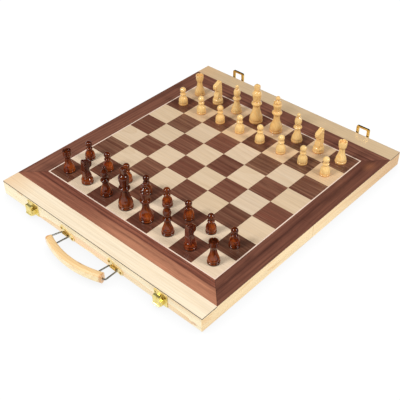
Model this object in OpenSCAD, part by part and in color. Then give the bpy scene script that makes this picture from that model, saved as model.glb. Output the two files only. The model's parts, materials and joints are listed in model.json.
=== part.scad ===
/* [Board] */
// Side of one playing square
square = 40; // [34:0.5:46]
// Width of the light line round the field
stringing = 1.8; // [1.5:0.1:4]
// Width of the walnut border outside that line
border = 30.7; // [22:0.1:36]
// Width of the pale strip across each end
end_strip = 26.5; // [18:0.5:34]
// Height of one half, from rim to playing surface
half_height = 22.5; // [20:0.5:28]
// Thickness of the top panel with its veneer
panel_t = 4; // [3:0.5:6]
// Thickness of the veneer squares and strips
veneer = 0.6; // [0.5:0.1:1]
// Thickness of the four rails of a half
rail = 9; // [7:0.5:12]
// Height of the felt feet, which is also the hinge knuckle radius
foot = 1.5; // [1.5:0.1:2]

/* [Hinges] */
// Distance of each hinge from the middle of the board
hinge_x = 120; // [80:1:150]
// Length of a hinge leaf along the fold
leaf_len = 38; // [24:1:60]
// Width of a hinge leaf
leaf_w = 8.4; // [7:0.1:8.8]
// Running clearance of every pin in its bore
running = 0.05; // [0.02:0.01:0.1]

/* [Latches] */
// Distance of each latch and hasp from the middle
latch_x = 125; // [100:1:150]
// Height of the hasp pivot above the table
hasp_z = 8; // [7:0.5:10]
// Reach of a hasp loop beyond its pivot
hasp_reach = 28.5; // [26:0.5:30]

/* [Handle] */
// Sideways position of the handle
handle_x = -5; // [-20:1:20]
// Distance of each bracket from the handle's middle
bracket_dx = 47.5; // [40:0.5:60]
// Radius of the bow of the grip
bow_r = 143; // [120:1:180]
// Radial thickness of the grip
grip_t = 10; // [8:0.5:14]
// Height of the grip
grip_h = 14; // [10:0.5:16]
// Diameter of the steel bail wire
wire_d = 2.2; // [1.8:0.1:2.6]

/* [Pieces] */
// Scale of every chess piece
piece_scale = 1; // [0.9:0.01:1.1]

/* [Part] */
// Sub-part to show

/* [Hidden] */
field = 4 * square;
line_w = field + stringing;
half_w = line_w + border;
half_l = half_w + end_strip;
rim_z = foot;
top_z = rim_z + half_height;
skin_z = top_z - veneer;
lip = 1;
seam = 0.15;
glue = 0.05;
leaf_t = 1.2;
knuckle_r = foot;
knuckles = 5;
pitch = leaf_len / knuckles;
pin_r = 0.75;
plate_t = 1.2;
slot_w = 0.5;
hasp_y = half_l + 2.9;
loop_half = 9.2;
strap_w = 4;
strap_t = 2.8;
handle_z = 9;
plate_slant = 20;
handle_y = -half_l - 3.2;
bail_y = -half_l - 26.5;
bail_z = 12;
bail_half = 7.4;
bend_r = 2.2;
splay = 3;
bend_swell = 0.03;
overlap = 0.2;
barrel_len = 2 * (bail_half - bend_r) - 0.4;
wire_r = wire_d / 2;
grip_mid = half_l + 36;

walnut = [0.42, 0.26, 0.2];
maple = [0.9, 0.8, 0.66];
pine = [0.95, 0.85, 0.62];
core_brown = [0.3, 0.24, 0.18];
felt_green = [0.1, 0.3, 0.18];
brass = [0.85, 0.7, 0.32];
steel = [0.6, 0.6, 0.6];
boxwood = [0.9, 0.74, 0.46];
mahogany = [0.4, 0.15, 0.08];

// Point on a smooth curve through p1 and p2
function blend_point(p0, p1, p2, p3, t) =
  0.5 * (2 * p1 + (p2 - p0) * t + (2 * p0 - 5 * p1 + 4 * p2 - p3) * t * t
  + (3 * p1 - p0 - 3 * p2 + p3) * t * t * t);
function at(p, i) = p[max(0, min(len(p) - 1, i))];
function curve(p, n) = concat(
  [for (i = [0 : len(p) - 2], j = [0 : n - 1])
    blend_point(at(p, i - 1), p[i], p[i + 1], at(p, i + 2), j / n)],
  [p[len(p) - 1]]);
function arc(cx, cz, r, a, b, n) =
  [for (i = [0 : n]) [cx + r * cos(a + (b - a) * i / n), cz + r * sin(a + (b - a) * i / n)]];
function rounded(w, h, r, n) = concat(
  arc(w / 2 - r, h / 2 - r, r, 0, 90, n), arc(r - w / 2, h / 2 - r, r, 90, 180, n),
  arc(r - w / 2, r - h / 2, r, 180, 270, n), arc(w / 2 - r, r - h / 2, r, 270, 360, n));

function way(a, b) = (b - a) / norm(b - a);
function turn_angle(u, v) = acos(u * v);

// Everything of a half is drawn for the far side; the near side is the same turned half a turn
module near() {
  rotate([0, 0, 180]) children();
}

module block(lo, hi) {
  translate(lo) cube(hi - lo);
}

// Cylinder along X, centred on x
module x_rod(x, y, z, r, length) {
  translate([x - length / 2, y, z]) rotate([0, 90, 0]) cylinder(r = r, h = length, $fn = 40);
}

// Cylinder along Y from y0 to y1
module y_rod(x, y0, y1, z, r) {
  translate([x, y1, z]) rotate([90, 0, 0]) cylinder(r = r, h = y1 - y0, $fn = 32);
}

module ball(p, r) {
  translate(p) sphere(r = r, $fn = 32);
}

// Top panel and veneers

module half_panel() {
  block([-half_w, seam, skin_z - lip], [half_w, half_l, skin_z]);
  block([-half_w + 4, seam, top_z - panel_t], [half_w - 4, half_l - 4, skin_z - lip]);
}

module half_squares(parity) {
  for (i = [0 : 7], j = [0 : 3])
    if ((i + j) % 2 == parity)
      block([(i - 4) * square + glue, j * square + (j == 0 ? seam : glue), skin_z],
        [(i - 3) * square - glue, (j + 1) * square - glue, top_z]);
}

module half_stringing() {
  for (s = [-1, 1])
    block([min(s * (field + glue), s * (line_w - glue)), seam, skin_z],
      [max(s * (field + glue), s * (line_w - glue)), field, top_z]);
  block([-line_w + glue, field + glue, skin_z], [line_w - glue, line_w - glue, top_z]);
}

module half_border() {
  for (s = [-1, 1])
    translate([0, 0, skin_z])
      linear_extrude(veneer)
        polygon([[s * line_w, seam], [s * half_w, seam], [s * half_w, half_w - 2 * glue],
          [s * line_w, line_w - 2 * glue]]);
  translate([0, 0, skin_z])
    linear_extrude(veneer)
      polygon([[-line_w, line_w], [line_w, line_w], [half_w - glue, half_w - glue],
        [glue - half_w, half_w - glue]]);
}

module half_end_strip() {
  block([-half_w, half_w + glue, skin_z], [half_w, half_l, top_z]);
}

// Mitred rails of one half

module rail_stick(a, b, c, d) {
  translate([0, 0, rim_z])
    linear_extrude(skin_z - lip - rim_z)
      polygon([a, b, c, d]);
}

module half_rails() {
  g = glue;
  difference() {
    union() {
      for (s = [-1, 1])
        rail_stick([s * half_w, seam + g], [s * half_w, half_l - g],
          [s * (half_w - rail), half_l - rail - g], [s * (half_w - rail), rail + g]);
      rail_stick([-half_w, half_l], [half_w, half_l], [half_w - rail, half_l - rail],
        [rail - half_w, half_l - rail]);
      rail_stick([-half_w, seam], [half_w, seam], [half_w - rail, rail], [rail - half_w, rail]);
    }
    block([-half_w + 3.9, -1, top_z - panel_t], [half_w - 3.9, half_l - 3.9, top_z]);
    for (s = [-1, 1]) {
      x_rod(s * hinge_x, 0, rim_z, knuckle_r + 0.4, leaf_len + 2);
      block([s * hinge_x - leaf_len / 2 - 0.1, 0, rim_z - 1],
        [s * hinge_x + leaf_len / 2 + 0.1, leaf_w + 0.1, rim_z + leaf_t + 0.05]);
    }
    hinge_screw_set(0.05, 0.1);
  }
}

module half_felt() {
  block([-half_w + rail + 0.2, rail + 0.2, top_z - panel_t - 1],
    [half_w - rail - 0.2, half_l - rail - 0.2, top_z - panel_t]);
}

// Felt feet stand at the outer corners, staggered so that closed halves don't press them together
module feet(x, y) {
  for (s = [-1, 1])
    translate([s * x, y, 0]) cylinder(d = 7, h = foot, $fn = 32);
}

// Hinges: odd knuckles belong to the near leaf and even ones to the far leaf

module hinge_leaf(own) {
  side = own == 0 ? -1 : 1;
  for (s = [-1, 1])
    difference() {
      union() {
        block([s * hinge_x - leaf_len / 2, min(side * 2.1, side * leaf_w), rim_z],
          [s * hinge_x + leaf_len / 2, max(side * 2.1, side * leaf_w), rim_z + leaf_t]);
        for (k = [own : 2 : knuckles - 1]) {
          x0 = s * hinge_x - leaf_len / 2 + k * pitch + 0.1;
          x_rod(x0 + pitch / 2 - 0.1, 0, rim_z, knuckle_r, pitch - 0.2);
          block([x0, min(0, side * 2.2), rim_z], [x0 + pitch - 0.2, max(0, side * 2.2), rim_z + leaf_t]);
        }
      }
      x_rod(s * hinge_x, 0, rim_z, pin_r + running, leaf_len + 2);
      if (side > 0) hinge_screw_set(0.05, 0);
      else near() hinge_screw_set(0.05, 0);
    }
}

module pins() {
  for (s = [-1, 1]) {
    x_rod(s * hinge_x, 0, rim_z, pin_r, leaf_len + 0.4);
    for (e = [-1, 1])
      x_rod(s * hinge_x + e * (leaf_len / 2 + 0.4), 0, rim_z, 1.2, 0.4);
  }
}

// Countersunk screws of the far hinge leaves; grow makes their holes
module hinge_screw_set(grow, extra) {
  for (s = [-1, 1], k = [-1, 0, 1])
    translate([s * hinge_x + k * pitch * 1.8, 5.2, rim_z]) {
      translate([0, 0, grow > 0 ? -1 : 0.05])
        cylinder(r = 1.6 + grow, h = 0.7 + (grow > 0 ? 1.05 : 0), $fn = 32);
      cylinder(r = 0.8 + grow, h = 8 + extra, $fn = 32);
    }
}

// Slotted round-headed screw driven in along -Y of the far side, with its head outside the plate
module face_screw(x, z, head, length, grow) {
  y_rod(x, half_l - length, half_l + plate_t + 0.2, z, 0.9 + grow);
  if (grow == 0)
    difference() {
      intersection() {
        y_rod(x, half_l + plate_t + 0.02, half_l + plate_t + 1.1, z, head);
        ball([x, half_l + plate_t + 1.1 - 1.9 * head, z], 1.9 * head);
      }
      block([x - 3, half_l + plate_t + 0.65, z - slot_w / 2],
        [x + 3, half_l + plate_t + 2, z + slot_w / 2]);
    }
}

// Slotted screw whose head lies flush in the plate
module flush_screw(x, z, head, length, grow) {
  y_rod(x, half_l - length, half_l + 0.6, z, 0.9 + grow);
  difference() {
    y_rod(x, half_l + 0.45 - grow, half_l + plate_t - 0.05 + (grow > 0 ? 1 : 0), z, head + grow);
    if (grow == 0)
      block([x - slot_w / 2, half_l + 0.75, z - 3], [x + slot_w / 2, half_l + 2, z + 3]);
  }
}

// Hasps: a brass loop turning in a curled barrel

module hasp_screw_set(grow) {
  for (s = [-1, 1], e = [-1, 1])
    face_screw(s * latch_x + e * 3.6, hasp_z + 5.4, 1.7, 6, grow);
}

module hasp_barrels() {
  for (s = [-1, 1])
    difference() {
      union() {
        block([s * latch_x - 10.5, half_l, 3.4], [s * latch_x + 10.5, half_l + plate_t, 16]);
        x_rod(s * latch_x, hasp_y, hasp_z, 2.3, 12.6);
        block([s * latch_x - 6.3, half_l, hasp_z - 2.3], [s * latch_x + 6.3, hasp_y, hasp_z]);
      }
      x_rod(s * latch_x, hasp_y, hasp_z, 1.2 + running, 40);
      hasp_screw_set(0.05);
    }
}

module hasp_loop(s) {
  x = s * latch_x;
  y0 = hasp_y - strap_t / 2;
  y1 = hasp_y + strap_t / 2;
  inner = loop_half - strap_w / 2;
  outer = loop_half + strap_w / 2;
  top = hasp_z + hasp_reach;
  x_rod(x, hasp_y, hasp_z, 1.2, 2 * loop_half);
  for (e = [-1, 1]) {
    intersection() {
      block([x + (e < 0 ? -outer : inner), y0, hasp_z - 2], [x + (e < 0 ? -inner : outer), y1, top - 2]);
      union() {
        x_rod(x, hasp_y, hasp_z, 1.4, 40);
        block([x - 20, y0, hasp_z], [x + 20, y1, top]);
      }
    }
  }
  translate([x, y1, 0])
    rotate([90, 0, 0])
      linear_extrude(strap_t)
        polygon([[-outer, top - 4], [-outer, top - 2.2], [-outer + 0.7, top - 0.7], [-outer + 2.2, top],
          [outer - 2.2, top], [outer - 0.7, top - 0.7], [outer, top - 2.2], [outer, top - 4],
          [inner, top - 4], [inner - 0.4, top - 3.2], [inner - 1.2, top - 2.9],
          [1.2 - inner, top - 2.9], [0.4 - inner, top - 3.2], [-inner, top - 4]]);
}

// Latches: a plate with a housing, and a catch that slides in the housing's channel.
// They are drawn on the far side like the rest and turned with near().

module latch_screw_set(grow) {
  for (s = [-1, 1], e = [-1, 1])
    flush_screw(s * latch_x + e * 8.6, 17, 1.6, 6, grow);
}

module latch_bases() {
  f = half_l;
  for (s = [-1, 1])
    difference() {
      union() {
        block([s * latch_x - 11, f, 2], [s * latch_x + 11, f + plate_t, 20.4]);
        translate([s * latch_x, f, 0])
          linear_extrude_between(4.6, 12.8)
            polygon([[-6.2, 0], [-6.2, 6.2], [-5.4, 7], [5.4, 7], [6.2, 6.2], [6.2, 0]]);
      }
      block([s * latch_x - 1.8, f + 5.2, 3], [s * latch_x + 1.8, f + 8, 12]);
      block([s * latch_x - 3.1, f + 3.4, 3], [s * latch_x + 3.1, f + 5.8, 12]);
      latch_screw_set(0.05);
    }
}

module linear_extrude_between(z0, z1) {
  translate([0, 0, z0]) linear_extrude(z1 - z0) children();
}

module catch_slider(s) {
  f = half_l;
  x = s * latch_x;
  translate([x - 5.4, f, 0])
    rotate([90, 0, 90])
      linear_extrude(10.8)
        polygon([[7.3, 5.2], [9.2, 5.2], [10.2, 6], [10.2, 7.2], [9.2, 8], [9.2, 18.6], [8.4, 20.4],
          [4.8, 20.4], [4.8, 17.6], [7.3, 17.6]]);
  block([x - 1.5, f + 4.6, 6], [x + 1.5, f + 7.4, 11.5]);
  block([x - 2.8, f + 3.7, 6], [x + 2.8, f + 5.5, 11.5]);
}

// Handle

// The plates are screwed on aslant
module aslant(s) {
  translate([-handle_x + s * bracket_dx, 0, handle_z])
    rotate([0, -plate_slant, 0]) children();
}

module bracket_screw_set(grow) {
  for (s = [-1, 1], e = [-1, 1])
    aslant(s) face_screw(e * 11, 0, 2, 7, grow);
}

module brackets() {
  for (s = [-1, 1]) {
    x = -handle_x + s * bracket_dx;
    difference() {
      union() {
        aslant(s) {
          for (e = [-1, 1])
            y_rod(e * 10.6, half_l, half_l + plate_t, 0, 4.4);
          block([-10.6, half_l, -4.4], [10.6, half_l + plate_t, 4.4]);
        }
        x_rod(x, -handle_y, handle_z, 2.3, barrel_len);
        block([x - barrel_len / 2, half_l, handle_z - 2.3], [x + barrel_len / 2, -handle_y, handle_z]);
      }
      x_rod(x, -handle_y, handle_z, wire_r + running, 40);
      bracket_screw_set(0.05);
    }
  }
}

// Closed loop of round wire through corner points in the XY plane, listed counter-clockwise.
// The bends are a hair fuller than the wire, and the straights run a little way into them.
module wire_loop(p, r, bend) {
  n = len(p);
  for (i = [0 : n - 1]) {
    u = way(p[i], p[(i + 1) % n]);
    into = turn_angle(way(p[(i + n - 1) % n], p[i]), u);
    out = turn_angle(u, way(p[(i + 1) % n], p[(i + 2) % n]));
    start = p[i] + bend * tan(into / 2) * u;
    stop = p[(i + 1) % n] - bend * tan(out / 2) * u;
    heading = atan2(u[1], u[0]);
    translate([start[0] - overlap * u[0], start[1] - overlap * u[1], 0])
      rotate([0, 90, heading])
        cylinder(r = r, h = norm(stop - start) + 2 * overlap, $fn = 32);
    translate([stop[0] - bend * u[1], stop[1] + bend * u[0], 0])
      rotate([0, 0, heading - 90])
        rotate_extrude(angle = out, $fn = 96)
          translate([bend, 0]) circle(r = r + bend_swell, $fn = 32);
  }
}

// Bail wire: pivot, two legs and the bar that lies in the grip
module bail(s, r) {
  lean = [bail_y - handle_y, bail_z - handle_z];
  leg = norm(lean);
  translate([handle_x + s * bracket_dx, handle_y, handle_z])
    rotate([asin(-lean[1] / leg), 0, 0])
      wire_loop([[-bail_half, 0], [-bail_half - (s < 0 ? splay : 0), -leg],
        [bail_half + (s > 0 ? splay : 0), -leg], [bail_half, 0]], r, bend_r);
}

module grip() {
  difference() {
    translate([handle_x, bow_r - grip_mid, bail_z])
      rotate([0, 0, 270 - 21.8])
        rotate_extrude(angle = 43.6, $fn = 180)
          translate([bow_r, 0]) polygon(rounded(grip_t, grip_h, 3.4, 5));
    for (s = [-1, 1]) bail(s, wire_r + 0.1);
  }
}

// Turned pieces

module turned(p) {
  rotate_extrude($fn = 48) polygon(p);
}

function foot_ring(r, h) = concat([[0, 0], [r - 0.3, 0]], arc(r - 0.5, 0.5, 0.5, -60, 0, 2),
  arc(r - 0.7, h - 0.7, 0.7, 0, 90, 3));

module king() {
  turned(concat(foot_ring(10.7, 3.8),
    curve([[9.9, 4.4], [10.3, 6], [10.1, 9.2], [9.2, 12.6], [7.9, 16.2], [6.4, 21], [5.5, 25.6],
      [5.1, 28.4]], 2),
    [[5.9, 29.2], [6.2, 29.9], [5.9, 30.6]],
    curve([[6.6, 31.2], [7.8, 32.2], [8, 33.4], [7.4, 34.9], [6, 36]], 2),
    curve([[5.6, 36.8], [5.9, 38.4], [6.3, 42], [7, 46.5], [7.6, 49.6]], 2),
    curve([[7.5, 50.8], [7, 52.4], [6, 54.2], [4.6, 55.6], [3, 56.4]], 2), [[0, 56.8]]));
  translate([0, 2.6, 0])
    rotate([90, 0, 0])
      linear_extrude(5.2)
        polygon([[-4, 53], [-3.6, 57.2], [-4.3, 59.8], [-4.3, 63.4], [-3.8, 65.4], [-3, 66],
          [3, 66], [3.8, 65.4], [4.3, 63.4], [4.3, 59.8], [3.6, 57.2], [4, 53]]);
}

module queen() {
  difference() {
    turned(concat(foot_ring(10, 3.8),
      curve([[9.3, 4.4], [9.8, 6], [9.7, 9], [8.7, 12], [7, 15.6], [5.6, 19.6], [4.9, 23.4],
        [4.6, 28]], 2),
      [[5.2, 28.8], [5.5, 29.6], [5.2, 30.4]],
      curve([[6.4, 31.2], [7.6, 32.6], [7.8, 34], [7, 35.6], [5.6, 36.5]], 2),
      curve([[5.2, 37.2], [5.4, 39.2], [6, 42.6], [6.9, 46.4]], 2),
      curve([[6.9, 47.4], [6.4, 48.8], [5.3, 49.8]], 2),
      curve([[5.2, 50.4], [6, 51.4], [5.8, 52.6], [4.4, 54]], 2), [[2.8, 54.9]],
      arc(0, 58.6, 3.6, -54, 90, 9)));
    for (k = [0 : 7])
      rotate([0, 0, k * 45 + 22.5])
        translate([4.4, 0, 53.4]) rotate([0, 90, 0]) cylinder(d = 2, h = 4, $fn = 24);
  }
}

module bishop() {
  difference() {
    turned(concat(foot_ring(8.7, 3.6),
      curve([[7.8, 4.2], [8.1, 5.6], [7.7, 8.2], [6.2, 12.2], [4.8, 16.6], [4.1, 20.6],
        [3.9, 22.6]], 2),
      curve([[4.6, 23.2], [6.1, 24.2], [6.4, 25.4], [5.8, 26.7], [4.4, 27.5]], 2),
      curve([[4, 28.2], [4.3, 29.8], [5.2, 33], [5.5, 36.4], [4.7, 40.2], [2.5, 43.8]], 2),
      arc(0, 46.6, 2.9, -45, 90, 7)));
    translate([0, 0, 41])
      rotate([38, 0, 0])
        translate([-8, 1, -0.5]) cube([16, 8, 1]);
  }
}

module rook() {
  difference() {
    turned(concat(foot_ring(8.6, 3.6),
      curve([[7.7, 4.2], [8, 5.6], [7.5, 8.4], [6, 12.6], [4.8, 17], [4.2, 21.4], [4.2, 24]], 2),
      curve([[4.8, 25], [5.8, 27.4], [6.3, 31], [6.4, 36.3]], 2),
      [[4.9, 36.3], [4.6, 33.6], [0, 33.2]]));
    for (k = [0 : 2])
      rotate([0, 0, k * 60 + 15]) block([-8, -0.6, 35.3], [8, 0.6, 37.3]);
  }
}

module pawn() {
  turned(concat(foot_ring(7.6, 3.2),
    curve([[7, 3.8], [7.4, 5.2], [7.2, 8.6], [6.4, 11.4], [4.9, 13.8], [3.7, 15.8], [3.5, 17]], 2),
    curve([[4.1, 17.6], [4.9, 18.5], [4.7, 19.5], [3.8, 20.3]], 2), [[3.3, 21.2]],
    arc(0, 26, 4.95, -50, 90, 9)));
}

// The knight looks along +Y
module knight() {
  turned(concat(foot_ring(8.7, 3.6),
    curve([[7.9, 4.2], [8.5, 5.8], [8.1, 7.6], [6.9, 9.2], [6.2, 10.2]], 2), [[0, 10.6]]));
  difference() {
    intersection() {
      translate([-5.5, 0, 0])
        rotate([90, 0, 90])
          linear_extrude(11)
            polygon(concat(
              curve([[-5, 9.8], [-5.5, 14], [-5.7, 22], [-5.7, 30], [-5.4, 36], [-4.8, 39.4]], 2),
              [[-4, 41], [-2.6, 40.9], [-1.8, 39.4]],
              curve([[0, 38.6], [3, 37.2], [6.4, 35.8], [8.4, 34.4]], 2),
              curve([[8.9, 33], [8.9, 30], [8.5, 27.8], [7.2, 26.6], [5.4, 26.2], [3.6, 25.2],
                [2.8, 23.4]], 2),
              curve([[3.2, 20.4], [4.8, 16], [5.9, 12], [6, 9.8]], 2)));
      translate([0, 10, 0])
        rotate([90, 0, 0])
          linear_extrude(20)
            polygon(concat(curve([[4.8, 9], [4.7, 14], [4.2, 22], [3.7, 30], [3.5, 36], [3.3, 42]], 2),
              curve([[-3.3, 42], [-3.5, 36], [-3.7, 30], [-4.2, 22], [-4.7, 14], [-4.8, 9]], 2)));
      linear_extrude(50)
        polygon([[-5.2, -7], [5.2, -7], [5.2, 3], [2.8, 9.4], [-2.8, 9.4], [-5.2, 3]]);
    }
    for (s = [-1, 1]) {
      translate([s * 4.1, 3, 34.2]) sphere(d = 2, $fn = 24);
      translate([s * 3.6, 7.6, 31.8]) sphere(d = 1.2, $fn = 24);
    }
    block([-6, 5.8, 28.6], [6, 10, 29.1]);
    block([-0.7, -6.5, 38.8], [0.7, -1, 42]);
    for (k = [0 : 4], s = [-1, 1])
      translate([s * (5.1 - 0.25 * k), -3.6, 15 + 4.6 * k])
        rotate([35, 0, 0])
          cube([2.2, 4.6, 0.7], center = true);
  }
}

// Standing places
module stand(i, row, turn) {
  translate([(i - 3.5) * square, (row - 3.5) * square, top_z])
    rotate([0, 0, turn])
      scale(piece_scale) children();
}

// Sub-parts

module near_panel() {
  color(core_brown) near() half_panel();
}
module far_panel() {
  color(core_brown) half_panel();
}
module near_dark_squares() {
  color(walnut) near() half_squares(0);
}
module far_dark_squares() {
  color(walnut) half_squares(0);
}
module near_light_squares() {
  color(maple) near() {
    half_squares(1);
    half_stringing();
  }
}
module far_light_squares() {
  color(maple) {
    half_squares(1);
    half_stringing();
  }
}
module near_border() {
  color(walnut) near() half_border();
}
module far_border() {
  color(walnut) half_border();
}
module near_end_strip() {
  color(maple) near() half_end_strip();
}
module far_end_strip() {
  color(maple) half_end_strip();
}
module near_frame() {
  color(pine) near() difference() {
    half_rails();
    latch_screw_set(0.05);
    bracket_screw_set(0.05);
  }
}
module far_frame() {
  color(pine) difference() {
    half_rails();
    hasp_screw_set(0.05);
  }
}
module near_felt() {
  color(felt_green) {
    near() half_felt();
    feet(172, -half_l + rail / 2);
  }
}
module far_felt() {
  color(felt_green) {
    half_felt();
    feet(152, half_l - rail / 2);
  }
}
module near_hinge_leaves() {
  color(brass) hinge_leaf(0);
}
module far_hinge_leaves() {
  color(brass) hinge_leaf(1);
}
module hinge_pins() {
  color(steel) pins();
}
module near_screws() {
  color(brass) near() {
    hinge_screw_set(0, 0);
    latch_screw_set(0);
    bracket_screw_set(0);
  }
}
module far_screws() {
  color(brass) {
    hinge_screw_set(0, 0);
    hasp_screw_set(0);
  }
}
module handle_brackets() {
  color(brass) near() brackets();
}
module latch_plates() {
  color(brass) near() latch_bases();
}
module hasp_plates() {
  color(brass) hasp_barrels();
}
module handle_grip() {
  color(pine) grip();
}
module handle_bails() {
  color(steel) {
    bail(-1, wire_r);
    bail(1, wire_r);
  }
}
module latch_catch_left() {
  color(brass) near() catch_slider(1);
}
module latch_catch_right() {
  color(brass) near() catch_slider(-1);
}
module hasp_left() {
  color(brass) hasp_loop(-1);
}
module hasp_right() {
  color(brass) hasp_loop(1);
}

module white_rook_h() {
  color(boxwood) stand(0, 7, 180) rook();
}
module white_knight_g() {
  color(boxwood) stand(1, 7, 180) knight();
}
module white_bishop_f() {
  color(boxwood) stand(2, 7, 180) bishop();
}
module white_king() {
  color(boxwood) stand(3, 7, 180) king();
}
module white_queen() {
  color(boxwood) stand(4, 7, 180) queen();
}
module white_bishop_c() {
  color(boxwood) stand(5, 7, 180) bishop();
}
module white_knight_b() {
  color(boxwood) stand(6, 7, 180) knight();
}
module white_rook_a() {
  color(boxwood) stand(7, 7, 180) rook();
}
module white_pawn_h() {
  color(boxwood) stand(0, 6, 180) pawn();
}
module white_pawn_g() {
  color(boxwood) stand(1, 6, 180) pawn();
}
module white_pawn_f() {
  color(boxwood) stand(2, 6, 180) pawn();
}
module white_pawn_e() {
  color(boxwood) stand(3, 6, 180) pawn();
}
module white_pawn_d() {
  color(boxwood) stand(4, 6, 180) pawn();
}
module white_pawn_c() {
  color(boxwood) stand(5, 6, 180) pawn();
}
module white_pawn_b() {
  color(boxwood) stand(6, 6, 180) pawn();
}
module white_pawn_a() {
  color(boxwood) stand(7, 6, 180) pawn();
}
module black_rook_h() {
  color(mahogany) stand(0, 0, 0) rook();
}
module black_knight_g() {
  color(mahogany) stand(1, 0, 0) knight();
}
module black_bishop_f() {
  color(mahogany) stand(2, 0, 0) bishop();
}
module black_king() {
  color(mahogany) stand(3, 0, 0) king();
}
module black_queen() {
  color(mahogany) stand(4, 0, 0) queen();
}
module black_bishop_c() {
  color(mahogany) stand(5, 0, 0) bishop();
}
module black_knight_b() {
  color(mahogany) stand(6, 0, 0) knight();
}
module black_rook_a() {
  color(mahogany) stand(7, 0, 0) rook();
}
module black_pawn_h() {
  color(mahogany) stand(0, 1, 0) pawn();
}
module black_pawn_g() {
  color(mahogany) stand(1, 1, 0) pawn();
}
module black_pawn_f() {
  color(mahogany) stand(2, 1, 0) pawn();
}
module black_pawn_e() {
  color(mahogany) stand(3, 1, 0) pawn();
}
module black_pawn_d() {
  color(mahogany) stand(4, 1, 0) pawn();
}
module black_pawn_c() {
  color(mahogany) stand(5, 1, 0) pawn();
}
module black_pawn_b() {
  color(mahogany) stand(6, 1, 0) pawn();
}
module black_pawn_a() {
  color(mahogany) stand(7, 1, 0) pawn();
}

near_panel();
near_dark_squares();
near_light_squares();
near_border();
near_end_strip();
near_frame();
near_felt();
near_hinge_leaves();
hinge_pins();
near_screws();
handle_brackets();
latch_plates();
far_panel();
far_dark_squares();
far_light_squares();
far_border();
far_end_strip();
far_frame();
far_felt();
far_hinge_leaves();
far_screws();
hasp_plates();
handle_grip();
handle_bails();
latch_catch_left();
latch_catch_right();
hasp_left();
hasp_right();
white_rook_h();
white_knight_g();
white_bishop_f();
white_king();
white_queen();
white_bishop_c();
white_knight_b();
white_rook_a();
white_pawn_h();
white_pawn_g();
white_pawn_f();
white_pawn_e();
white_pawn_d();
white_pawn_c();
white_pawn_b();
white_pawn_a();
black_rook_h();
black_knight_g();
black_bishop_f();
black_king();
black_queen();
black_bishop_c();
black_knight_b();
black_rook_a();
black_pawn_h();
black_pawn_g();
black_pawn_f();
black_pawn_e();
black_pawn_d();
black_pawn_c();
black_pawn_b();
black_pawn_a();
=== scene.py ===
import json
import math

import bmesh
import bpy
from mathutils import Matrix, Vector


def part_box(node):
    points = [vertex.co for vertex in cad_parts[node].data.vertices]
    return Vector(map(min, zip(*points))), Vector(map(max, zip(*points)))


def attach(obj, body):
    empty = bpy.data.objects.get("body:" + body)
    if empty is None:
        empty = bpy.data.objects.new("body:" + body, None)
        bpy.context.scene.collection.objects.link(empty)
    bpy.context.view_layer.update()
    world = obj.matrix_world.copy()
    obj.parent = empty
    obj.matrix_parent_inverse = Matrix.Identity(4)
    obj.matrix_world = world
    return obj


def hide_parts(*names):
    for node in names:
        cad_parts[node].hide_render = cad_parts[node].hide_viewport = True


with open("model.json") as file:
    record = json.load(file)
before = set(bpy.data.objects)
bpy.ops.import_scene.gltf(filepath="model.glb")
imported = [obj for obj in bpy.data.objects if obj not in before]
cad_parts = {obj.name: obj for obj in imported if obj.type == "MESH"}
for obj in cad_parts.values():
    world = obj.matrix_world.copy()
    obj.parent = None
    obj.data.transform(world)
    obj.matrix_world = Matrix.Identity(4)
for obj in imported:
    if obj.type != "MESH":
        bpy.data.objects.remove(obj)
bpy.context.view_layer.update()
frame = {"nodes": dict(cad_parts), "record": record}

MM = 0.001

# ---------------------------------------------------------------- places taken from the frame
NODES = frame["nodes"]
BODY_OF = {n: b for b, ns in frame["record"]["behaviour"]["bodies"].items() for n in ns}
HALF_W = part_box("near_panel")[1].x
HALF_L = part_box("far_end_strip")[1].y
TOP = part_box("far_border")[1].z
LINE_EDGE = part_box("far_light_squares")[1].x
SQUARE = round(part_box("far_dark_squares")[1].x / 4, 3)
FIELD = 4 * SQUARE


# ---------------------------------------------------------------- colour and shader helpers
def srgb(r, g, b):
    """Linear RGBA of an 8-bit sRGB colour."""
    def linear(c):
        c /= 255
        return c / 12.92 if c <= 0.04045 else ((c + 0.055) / 1.055) ** 2.4
    return (linear(r), linear(g), linear(b), 1.0)


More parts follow.
